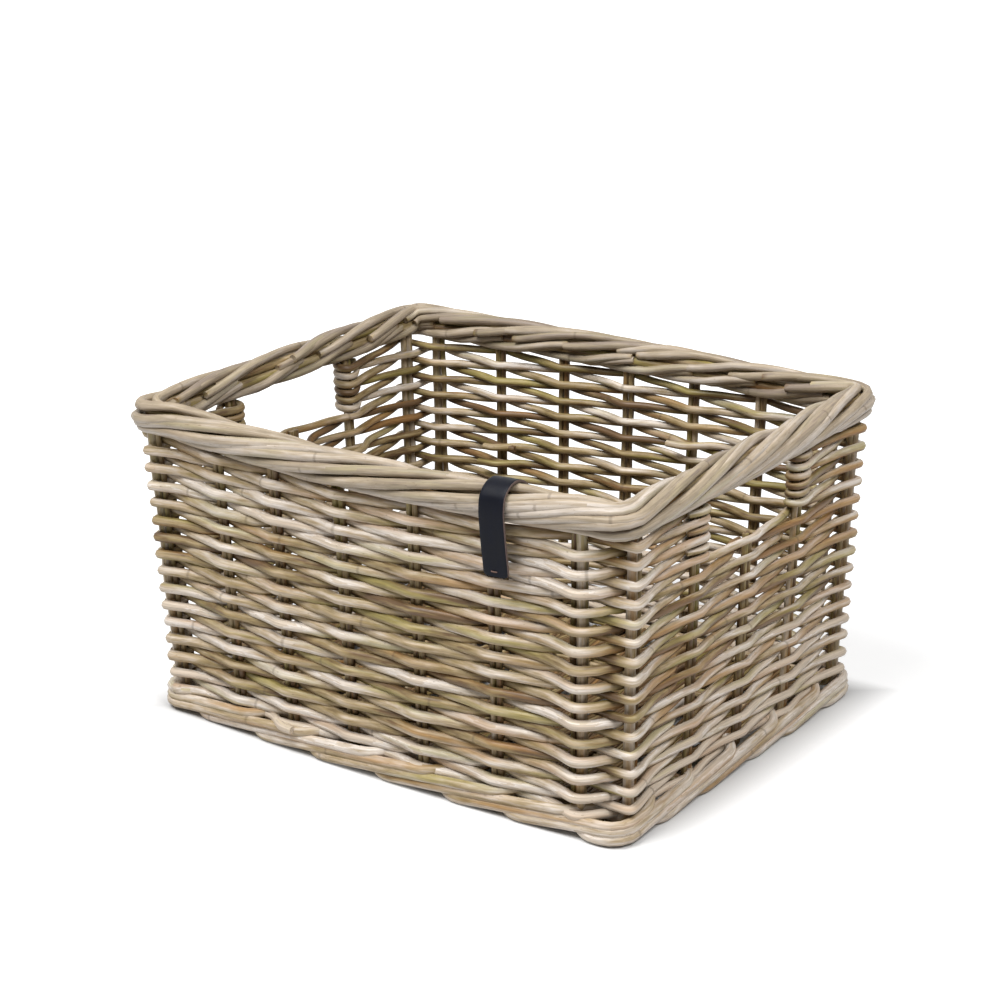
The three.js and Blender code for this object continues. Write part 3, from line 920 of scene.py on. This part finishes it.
def row_rod(points, weaver, row, rng, end_taper):
    """A woven rod, thickest at the front. Painted light makes it paler at the front and right, most of all where
    it swings out past a stake, and over the whole right wall; painted shade darkens it where it passes inside, on
    its underside and on walls that show their inside.
    """
    rod = Rod(points, weaver / 2, row_tone(row, rng), end_taper)
    shown = np.array([facing(x, y) for x, y, _ in rod.points])
    x, y = rod.points[:, 0] / HALF_LENGTH, rod.points[:, 1] / HALF_WIDTH
    front = ramp(-y, 0.85, 1)
    far_corner = ramp(x + y, 1.75, 1.95)
    right = ramp(x, 0.86, 0.94) * ramp(y, -0.98, -0.8)
    near_foot = ramp(2 * x + y, 0.35, 1) * ramp(-row, -13, 0)
    right_foot = right * ramp(-row, -11, -3)
    right_middle = right * ramp(row, 3, 9)
    bend_light_and_shade = (ramp(shown, 0, 1) + right) * outwardness(rod.points, ROW_HEIGHTS[row], weaver)
    rod.radii *= ROW_WIDTH + FRONT_WIDENING * front + FAR_CORNER_WIDENING * far_corner - RIGHT_NARROWING * right
    rod.tones += ROW_INSIDE_PAINTED_SHADE * (shown - 1) + NEAR_FOOT_PALENESS * near_foot + BEND_PAINTED_LIGHT_AND_SHADE * bend_light_and_shade
    rod.tones += RIGHT_PAINTED_LIGHT * right + RIGHT_FOOT_PALENESS_AND_PAINTED_LIGHT * right_foot
    rod.underside_painted_shade = ROW_UNDERSIDE_PAINTED_SHADE + RIGHT_UNDERSIDE_PAINTED_SHADE * right
    rod.warmths = RIGHT_WARMTH * right_middle
    return swell(rng, rod)


def row_reaches(row, passed, weaver, sizes):
    """Offsets of a row at its stakes, outside and inside in turn."""
    signs = alternating(1 if row % 2 == 0 else -1, len(passed))
    return [sign * stake_reach(*stake, sizes, weaver) for sign, stake in zip(signs, passed)]


WEAVER_WIDTHS = (0.92, 1.06)
RODS_IN_A_ROW = (1, 2, 2)
LAPS_INSIDE = 0.92
LAP_LENGTHS = (10 * MM, 20 * MM)
LAP_LIFT = 0.95
ROW_TAPER = 0.85


def full_row(row, rng, sizes):
    """A whole row as one or two rods, whose ends lap inside a stake or, now and then, outside it."""
    z = ROW_HEIGHTS[row]
    count = len(STATIONS)
    weaver = sizes.weaver * rng.uniform(*WEAVER_WIDTHS)
    reaches = row_reaches(row, STATIONS, weaver, sizes)
    height = wavering(rng, sizes.wobble, 2 * math.pi)
    pieces = rng.choice(RODS_IN_A_ROW)
    laps_inside = rng.random() < LAPS_INSIDE
    tucked = [i for i in range(count) if (reaches[i] < 0) == laps_inside and not is_corner(*STATIONS[i])]
    start = rng.randrange(len(tucked))
    joins = [tucked[(start + k * len(tucked) // pieces) % len(tucked)] for k in range(pieces)]
    rods = []
    for k, join in enumerate(joins):
        turns = (joins[(k + 1) % pieces] - join) % count or count
        order = [(join + n) % count for n in range(turns + 1)]
        passed, sweep = [STATIONS[i] for i in order], [reaches[i] for i in order]
        lap = rng.uniform(*LAP_LENGTHS)
        lift = math.copysign(weaver * LAP_LIFT, sweep[-1])
        line = woven_line(passed, sweep, half_sizes(z), lap, lap, lift)
        points = row_points(line[::POINT_EVERY], z, height, sizes)
        rods.append(row_rod(points, weaver, row, rng, ROW_TAPER))
    return rods


HOOK_TURNS = np.radians(np.linspace(80, -90, 8))
HOOK_TAIL = ((3, 1.0), (7, 0.85), (11, 0.5), (15, 0.1))
HOOKED_WIDTHS = (0.92, 1.04)
HOOKED_WOBBLE = 0.7
HOOKED_TAPER = 0.8


def hook_line(place, reach, direction, halves, sizes):
    """The turn of a row round an edge stake, from the row outwards, and back into the wall behind the stake."""
    side, along = place[0], spread_place(*place, halves)
    steps = [(sizes.stake / 2 + abs(reach) * math.cos(turn), reach * math.sin(turn)) for turn in HOOK_TURNS]
    steps += [(sizes.stake / 2 - back * MM, -reach * share) for back, share in HOOK_TAIL]
    across = halves[(side + 1) % 2]
    return [(*plan_point(side, along + direction * step, across + out), out) for step, out in steps]


def hooked_row(row, side, rng, sizes):
    """A row beside the handle openings, hooked round the edge stake at each end."""
    z = ROW_HEIGHTS[row]
    halves = half_sizes(z)
    left, right = (side + 3) % SIDES, (side + 1) % SIDES
    passed = [(left, a) for a in PLACES[left][3:]]
    passed += [(side, a) for a in PLACES[side]]
    passed += [(right, a) for a in PLACES[right][:2]]
    weaver = sizes.weaver * rng.uniform(*HOOKED_WIDTHS)
    reaches = row_reaches(row, passed, weaver, sizes)
    height = wavering(rng, sizes.wobble * HOOKED_WOBBLE, 2 * math.pi)
    body = list(woven_line(passed, reaches, halves)[::POINT_EVERY])
    start = hook_line(passed[0], reaches[0], -1, halves, sizes)[::-1]
    finish = hook_line(passed[-1], reaches[-1], 1, halves, sizes)
    points = row_points(start + body + finish, z, height, sizes)
    return [row_rod(points, weaver, row, rng, HOOKED_TAPER)]


class BASKET_OT_rows(bpy.types.Operator):
    """Woven rows from the foot to the border"""

    bl_idname = "basket.rows"
    bl_label = "Woven rows"

    def execute(self, context):
        sizes = context.scene.basket_sizes
        rng = random.Random(sizes.seed + 3)
        for row in range(ROWS):
            if row < FULL_ROWS:
                add_rods(f"woven_row_{row + 1:02d}", full_row(row, rng, sizes), rng, "weave", *row_nodes(row))
                continue
            for side, name in ((0, "front"), (2, "back")):
                rods = hooked_row(row, side, rng, sizes)
                piece = f"woven_row_{row + 1:02d}_{name}"
                add_rods(piece, rods, rng, "weave", f"weave_row_{row + 1:02d}_{name}")
        return {"FINISHED"}


STAKE_PULL = 0.35


def border_groups(plan):
    """Starts of the border's rods round its line, near the stakes but more even."""
    marks = [plan.place(side, along) for side, along in STATIONS]
    count = len(marks)
    even = [marks[0] + plan.length * i / count for i in range(count)]
    drift = sum(m - e for m, e in zip(marks, even)) / count
    return [STAKE_PULL * m + (1 - STAKE_PULL) * (e + drift) for m, e in zip(marks, even)]


BORDER_SPACINGS = (0, 0.72, 1.55, 3.55, 4.84, 5.53)
BORDER_TURNS = (-170, -105, -55, 45, 130, 185)
SPACING_SPREAD = (0.92, 1.08)
START_STRAY = 7 * MM
TURN_ROUNDING = 14 * MM
TURN_STRAY = 5
TURN_WAVES = (70 * MM, 130 * MM)
PAIR_TURN = 30
RADIUS_STRAY = (-0.8 * MM, 0.6 * MM)
START_TUCK = 5 * MM
START_TUCK_RUN = 45 * MM
END_TUCK = 4.5 * MM
END_TUCK_RUN = 50 * MM
ENDS_TUCKED = 0.6
BORDER_POINT_EVERY = 5
BORDER_WIDTHS = (0.88, 1.1)
BORDER_TAPER = 0.9
BORDER_TONE = 0.42
BORDER_TONE_SPREAD = 0.15
# Painted shade on the border where it shows its inside, above all the back rim.
BORDER_INSIDE_PAINTED_SHADE = 0.11
# Below 0: painted light on the lower side of each border rod, which leaves its lit top darker by comparison.
BORDER_UNDERSIDE_PAINTED_SHADE = -0.4
BORDER_WARMTH = -0.1


def border_rod(plan, starts, group, second, rng, sizes):
    """One rod of the border: out from inside its stake, along the outside, over the top and cut off inside."""
    spacing = plan.length / len(starts) * rng.uniform(*SPACING_SPREAD)
    start = starts[group] + rng.uniform(-START_STRAY, START_STRAY)
    distances = np.arange(0, BORDER_SPACINGS[-1] * spacing, FINE_STEP)
    turns = softened(np.interp(distances / spacing, BORDER_SPACINGS, BORDER_TURNS), TURN_ROUNDING)
    turns += rng.uniform(-TURN_STRAY, TURN_STRAY) - (PAIR_TURN if second else 0)
    turns += TURN_STRAY * np.sin(distances / rng.uniform(*TURN_WAVES) * math.pi + rng.uniform(0, 2 * math.pi))
    radii = np.full(len(distances), sizes.border_radius + rng.uniform(*RADIUS_STRAY))
    radii -= START_TUCK * ramp(-distances, -START_TUCK_RUN, 0)
    if rng.random() < ENDS_TUCKED:
        radii -= END_TUCK * ramp(distances - distances[-1], -END_TUCK_RUN, 0)
    points = []
    every = slice(None, None, BORDER_POINT_EVERY)
    for s, turn, radius in zip(distances[every], np.radians(turns[every]), radii[every]):
        x, y = plan.point(start + s, radius * math.cos(turn))
        points.append(bowed((x, y, BORDER_Z + radius * math.sin(turn)), sizes))
    width = sizes.border_rod * rng.uniform(*BORDER_WIDTHS)
    rod = Rod(points, width / 2, rng.gauss(BORDER_TONE, BORDER_TONE_SPREAD), BORDER_TAPER)
    # Painted shade where the border shows its inside.
    rod.tones += BORDER_INSIDE_PAINTED_SHADE * np.array([facing(x, y) - 1 for x, y, _ in rod.points])
    # Painted light on the lower side of each border rod.
    rod.underside_painted_shade += BORDER_UNDERSIDE_PAINTED_SHADE
    rod.warmths += BORDER_WARMTH
    return swell(rng, rod)


CORE_PLACES = ((-3.5 * MM, -3 * MM), (3.5 * MM, -3 * MM), (0, 3 * MM))
CORE_STEP = 5 * MM
CORE_TONES = (0.1, 0.4)


def border_core(plan, side, rng, sizes):
    """Rods laid along the middle of a side's border, under the rolled ones."""
    start = plan.starts[side] - plan.arc / 2
    finish = plan.starts[side] + plan.straights[side] + plan.arc / 2
    rods = []
    for out, up in CORE_PLACES:
        places = [plan.point(distance, out) for distance in np.arange(start, finish, CORE_STEP)]
        points = [bowed((x, y, BORDER_Z + up), sizes) for x, y in places]
        rods.append(swell(rng, Rod(points, sizes.border_rod / 2, rng.uniform(*CORE_TONES))))
    return rods


BAR_REACH = 0.9 * HALF_LENGTH


class BASKET_OT_border(bpy.types.Operator):
    """Pairs of rods rolled round the top edge, with the handle bars across the openings"""

    bl_idname = "basket.border"
    bl_label = "Border and handle bars"

    def execute(self, context):
        sizes = context.scene.basket_sizes
        rng = random.Random(sizes.seed + 4)
        plan = PlanLine(HALF_LENGTH, HALF_WIDTH, sizes.border_corner)
        starts = border_groups(plan)
        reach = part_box("right_handle_bar")[1][1]
        pieces = {"front_border": [], "back_border": [], "left_handle_bar": [], "right_handle_bar": []}
        for group in range(len(starts)):
            for second in (False, True):
                rod = border_rod(plan, starts, group, second, rng, sizes)
                x, y, _ = rod.points[len(rod.points) // 2]
                if abs(y) < reach and abs(x) > BAR_REACH:
                    pieces["right_handle_bar" if x > 0 else "left_handle_bar"].append(rod)
                else:
                    pieces["front_border" if y < 0 else "back_border"].append(rod)
        for side, name in enumerate(("front_border", "right_handle_bar", "back_border", "left_handle_bar")):
            rods = pieces[name] + border_core(plan, side, rng, sizes)
            add_rods(f"{name}_rods", rods, rng, "border", name)
        return {"FINISHED"}


FOOT_SPAN = 3.3
FOOT_LEAD = 36 * MM
FOOT_STRAY = 6 * MM
FOOT_STEP = 4 * MM
FOOT_WIDTHS = (0.92, 1.08)
FOOT_RUNS = (0.94, 1.06)
FOOT_SLACKS = (0.6 * MM, 2.0 * MM)
FOOT_START = 1.1
FOOT_CLIMB = 4 * MM
FOOT_TUCK = 6 * MM
FOOT_TUCK_SHARE = 0.12
FOOT_RISE = (0.14, 0.98)
FOOT_TONE = 0.66
FOOT_TONE_SPREAD = 0.15
DARKEST_FOOT = 0.15


def foot_rod(plan, start, run, rng, sizes):
    """One rod of the foot: out from under the wall, slowly up past three stakes and in again."""
    radius = sizes.foot_rod / 2 * rng.uniform(*FOOT_WIDTHS)
    out = STAKE_SOLID / 2 + radius + rng.uniform(*FOOT_SLACKS)
    low, high = FOOT_START * radius, FOOT_TOP + FOOT_CLIMB
    run *= rng.uniform(*FOOT_RUNS)
    points = []
    for t in np.linspace(0, 1, int(run / FOOT_STEP)):
        tuck = math.sin(math.pi / 2 * min(1.0, t / FOOT_TUCK_SHARE, (1 - t) / FOOT_TUCK_SHARE))
        x, y = plan.point(start + run * t, (out + FOOT_TUCK) * tuck - FOOT_TUCK)
        points.append(bowed((x, y, low + (high - low) * ramp(t, *FOOT_RISE)), sizes))
    tone = min(1.0, max(DARKEST_FOOT, rng.gauss(FOOT_TONE, FOOT_TONE_SPREAD)))
    return swell(rng, Rod(points, radius, tone))


class BASKET_OT_foot(bpy.types.Operator):
    """Thick rods that come out from under the basket and climb past the stakes"""

    bl_idname = "basket.foot"
    bl_label = "Foot border"

    def execute(self, context):
        sizes = context.scene.basket_sizes
        rng = random.Random(sizes.seed + 5)
        plan = PlanLine(*half_sizes(0.0), sizes.foot_corner)
        count = len(STATIONS)
        spacing = plan.length / count
        near_corner = plan.starts[1] - plan.arc / 2
        lower, upper = [], []
        for i in range(count):
            start = near_corner - FOOT_LEAD + i * spacing + rng.uniform(-FOOT_STRAY, FOOT_STRAY)
            rod = foot_rod(plan, start, FOOT_SPAN * spacing, rng, sizes)
            (lower if i % 2 == 0 else upper).append(rod)
        add_rods("foot_rods_lower", lower, rng, "foot", "foot_rod_lower")
        add_rods("foot_rods_upper", upper, rng, "foot", "foot_rod_upper")
        return {"FINISHED"}


STRAP_COLUMNS = 8
STRAP_CORNER = 3.5 * MM
STRAP_SLACK = 0.6 * MM
STRAP_INSIDE = ((-1.0, -14), (0, -6))
STRAP_FOLD = np.radians(np.linspace(170, 20, 9))
STRAP_OUTSIDE = ((0.3, -4), (-0.2, -16), (-1.2, -30))
STRAP_HALFWAY = -2.2 * MM
STRAP_END = -3.0 * MM
STRAP_STEP = 1 * MM
EDGE_ROUNDING = 0.4 * MM
STITCH_LINE = ((-2.6, -0.8), (-1.8, 0.2), (0, 0.4), (1.8, 0.2), (2.6, -0.8))
STITCH_STEP = 0.5 * MM
STITCH_RADIUS = 0.55 * MM
STITCH_TONE = 0.5
STITCH_FROM_END = 5
STITCH_SHIFT = 1 * MM


class BASKET_OT_strap(bpy.types.Operator):
    """Strap tag folded over the front border"""

    bl_idname = "basket.strap"
    bl_label = "Strap tag"

    def profile(self, sizes, lowest):
        """The strap's line from inside the border, over it and down the outside, as outward and height."""
        reach = sizes.border_radius + (sizes.border_rod + sizes.strap_thickness) / 2 + STRAP_SLACK
        line = [(out * MM - reach, BORDER_Z + up * MM) for out, up in STRAP_INSIDE]
        line += [(reach * math.cos(turn), BORDER_Z + reach * math.sin(turn)) for turn in STRAP_FOLD]
        line += [(reach + out * MM, BORDER_Z + up * MM) for out, up in STRAP_OUTSIDE]
        line += [(reach + STRAP_HALFWAY, (line[-1][1] + lowest) / 2), (reach + STRAP_END, lowest)]
        return np.array(smooth_line([(out, z, 0) for out, z in line], STRAP_STEP))[:, :2]

    def execute(self, context):
        sizes = context.scene.basket_sizes
        colours = context.scene.basket_colours
        low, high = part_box("tag_strap")
        line = self.profile(sizes, low[2])
        steps = np.linalg.norm(np.diff(line, axis=0), axis=1)
        to_end = np.concatenate([np.cumsum(steps[::-1])[::-1], [0.0]])
        missing = STRAP_CORNER - np.clip(to_end, 0, STRAP_CORNER)
        half_widths = sizes.strap_width / 2 - STRAP_CORNER + np.sqrt(STRAP_CORNER**2 - missing**2)
        lean = (high[0] - low[0] - sizes.strap_width) / (high[2] - low[2])
        middles = low[0] + sizes.strap_width / 2 + lean * (high[2] - line[:, 1])
        work = bmesh.new()
        bmesh.ops.create_grid(work, x_segments=STRAP_COLUMNS, y_segments=len(line) - 1, size=0.5)
        for vertex in work.verts:
            across = 2 * vertex.co.x
            i = round((0.5 - vertex.co.y) * (len(line) - 1))
            x = middles[i] + across * half_widths[i]
            vertex.co = bowed((x, -(HALF_WIDTH + line[i][0]), line[i][1]), sizes)
        mesh = bpy.data.meshes.new("strap_tag")
        work.to_mesh(mesh)
        work.free()
        mesh.shade_smooth()
        materials = (strap_face(colours), plain_fibre("strap_cut_edge", colours.strap_edge, 0.7))
        piece = add_piece("strap_tag", mesh, materials, "strap", "tag_strap")
        thickness = piece.modifiers.new("Thickness", "SOLIDIFY")
        thickness.thickness = sizes.strap_thickness
        thickness.offset = 0.0
        thickness.material_offset_rim = 1
        rounding = piece.modifiers.new("Rounding", "BEVEL")
        rounding.width = EDGE_ROUNDING
        rounding.segments = 2
        self.add_stitch(context, line[-STITCH_FROM_END], middles[-STITCH_FROM_END] - STITCH_SHIFT)
        return {"FINISHED"}

    def add_stitch(self, context, place, x):
        """A short thread across the strap's lower end."""
        sizes = context.scene.basket_sizes
        outward = place[0] + sizes.strap_thickness / 2
        points = []
        for across, out in STITCH_LINE:
            y = -(HALF_WIDTH + outward + out * MM)
            points.append(bowed((x + across * MM, y, place[1]), sizes))
        rod = Rod(smooth_line(points, STITCH_STEP), STITCH_RADIUS, STITCH_TONE)
        mesh = rods_mesh("strap_stitch", [rod], random.Random(sizes.seed), "Z_UP")
        thread = plain_fibre("strap_thread", context.scene.basket_colours.stitch, 0.8)
        add_piece("strap_stitch", mesh, (thread, thread), "strap")


# Stage

AIM = Vector((0, 0, RIM_Z / 2))
KEY_EXTENT = 1.3
KEY_PLACE = (-0.4, -1.1, 2.2)
FILL_EXTENT = 1.0
FILL_PLACE = (1.5, -0.4, 2.0)
FLOOR_REACH = 40
GLOW_RISE = (0.4, 1.2)
SHADOW_EDGE = (1.0, 1.15)
SENSOR_WIDTH = 36
WHITE = (1.0, 1.0, 1.0, 1.0)


def seen_rays(tree):
    """1 for rays that show a surface as it looks, and 0 for those that only carry its light."""
    rays = tree.nodes.new("ShaderNodeLightPath")
    seen = arithmetic(tree, "MAXIMUM", rays.outputs["Is Camera Ray"], rays.outputs["Is Glossy Ray"])
    return arithmetic(tree, "MAXIMUM", seen, rays.outputs["Is Transmission Ray"])


def add_lamp(name, power, extent, place):
    """A square area lamp at a place, aimed at the basket."""
    lamp = bpy.data.lights.new(name, "AREA")
    lamp.energy = power
    lamp.size = extent
    holder = bpy.data.objects.new(name, lamp)
    holder.location = place
    holder.rotation_euler = (AIM - Vector(place)).to_track_quat("-Z", "Y").to_euler()
    bpy.context.scene.collection.objects.link(holder)


class BASKET_OT_stage(bpy.types.Operator):
    """Floor, light and camera"""

    bl_idname = "basket.stage"
    bl_label = "Stage"

    def execute(self, context):
        scene = context.scene
        studio = scene.basket_studio
        scene.view_settings.view_transform = "Standard"
        self.add_floor(scene.basket_colours, studio)
        self.add_world(studio)
        add_lamp("key_lamp", studio.key, KEY_EXTENT, KEY_PLACE)
        add_lamp("fill_lamp", studio.fill, FILL_EXTENT, FILL_PLACE)
        self.add_camera(scene, studio)
        return {"FINISHED"}

    def add_floor(self, colours, studio):
        """A plain floor that is white away from the basket and keeps its shadow."""
        work = bmesh.new()
        bmesh.ops.create_grid(work, x_segments=1, y_segments=1, size=FLOOR_REACH)
        mesh = bpy.data.meshes.new("floor")
        work.to_mesh(mesh)
        work.free()
        floor = bpy.data.objects.new("floor", mesh)
        bpy.context.scene.collection.objects.link(floor)
        material, tree, shader = new_material("studio_floor")
        shader.inputs["Base Color"].default_value = (*colours.floor, 1.0)
        shader.inputs["Roughness"].default_value = 1.0
        shader.inputs["Specular IOR Level"].default_value = 0.0
        shader.inputs["Emission Color"].default_value = WHITE
        place = object_place(tree)
        distance = tree.nodes.new("ShaderNodeVectorMath")
        distance.operation = "LENGTH"
        tree.links.new(place, distance.inputs[0])
        glow = spread(tree, distance.outputs["Value"], *GLOW_RISE, studio.glow, 1.0)
        glow = arithmetic(tree, "MULTIPLY", glow, self.outside_basket(tree, place))
        glow = arithmetic(tree, "MULTIPLY", glow, seen_rays(tree))
        tree.links.new(glow, shader.inputs["Emission Strength"])
        mesh.materials.append(material)

    def outside_basket(self, tree, place):
        """0 on the floor under the basket and 1 a little outside it."""
        parts = tree.nodes.new("ShaderNodeSeparateXYZ")
        tree.links.new(place, parts.inputs["Vector"])
        shares = []
        for part, half in (("X", HALF_LENGTH), ("Y", HALF_WIDTH)):
            share = arithmetic(tree, "DIVIDE", parts.outputs[part], half)
            shares.append(arithmetic(tree, "ABSOLUTE", share))
        return spread(tree, arithmetic(tree, "MAXIMUM", *shares), *SHADOW_EDGE)

    def add_world(self, studio):
        """Even light all round, seen as white."""
        world = bpy.data.worlds.new("studio")
        world.use_nodes = True
        bpy.context.scene.world = world
        tree = world.node_tree
        background = tree.nodes["Background"]
        background.inputs["Color"].default_value = WHITE
        strength = spread(tree, seen_rays(tree), 0.0, 1.0, studio.sky, 1.0)
        tree.links.new(strength, background.inputs["Strength"])

    def add_camera(self, scene, studio):
        """A camera at the studio's angles, aimed a little beside the basket's middle."""
        azimuth, elevation = studio.azimuth, studio.elevation
        back = Vector((
            math.sin(azimuth) * math.cos(elevation),
            -math.cos(azimuth) * math.cos(elevation),
            math.sin(elevation),
        ))
        level = Vector((0, 0, 1)).cross(back).normalized()
        up = back.cross(level)
        right = level * math.cos(studio.roll) + up * math.sin(studio.roll)
        up = back.cross(right)
        camera = bpy.data.cameras.new("camera")
        camera.sensor_width = SENSOR_WIDTH
        camera.lens = studio.lens
        holder = bpy.data.objects.new("camera", camera)
        turn = Matrix((right, up, back)).transposed()
        place = AIM + right * studio.aim_right + up * studio.aim_up + back * studio.distance
        holder.matrix_world = Matrix.Translation(place) @ turn.to_4x4()
        scene.collection.objects.link(holder)
        scene.camera = holder


OPERATORS = (
    BASKET_OT_stage,
    BASKET_OT_stakes,
    BASKET_OT_base,
    BASKET_OT_foot,
    BASKET_OT_rows,
    BASKET_OT_border,
    BASKET_OT_strap,
)


class BASKET_PT_panel(bpy.types.Panel):
    """The basket's sizes, colours and making steps"""

    bl_idname = "BASKET_PT_panel"
    bl_label = "Woven Basket"
    bl_space_type = "VIEW_3D"
    bl_region_type = "UI"
    bl_category = "Basket"

    def draw(self, context):
        scene = context.scene
        for group in (scene.basket_sizes, scene.basket_colours, scene.basket_studio):
            box = self.layout.box()
            for name in group.__annotations__:
                box.prop(group, name)
        for operator in OPERATORS:
            self.layout.operator(operator.bl_idname)


GROUPS = (BasketSizes, BasketColours, StudioSettings)
CLASSES = (*GROUPS, *OPERATORS, BASKET_PT_panel)


def register():
    for item in CLASSES:
        bpy.utils.register_class(item)
    bpy.types.Scene.basket_sizes = PointerProperty(type=BasketSizes)
    bpy.types.Scene.basket_colours = PointerProperty(type=BasketColours)
    bpy.types.Scene.basket_studio = PointerProperty(type=StudioSettings)


def unregister():
    del bpy.types.Scene.basket_studio
    del bpy.types.Scene.basket_colours
    del bpy.types.Scene.basket_sizes
    for item in reversed(CLASSES):
        bpy.utils.unregister_class(item)


def main():
    register()
    bpy.ops.basket.stage()
    bpy.ops.basket.stakes()
    bpy.ops.basket.base()
    bpy.ops.basket.foot()
    bpy.ops.basket.rows()
    bpy.ops.basket.border()
    bpy.ops.basket.strap()


if __name__ == "__main__":
    main()
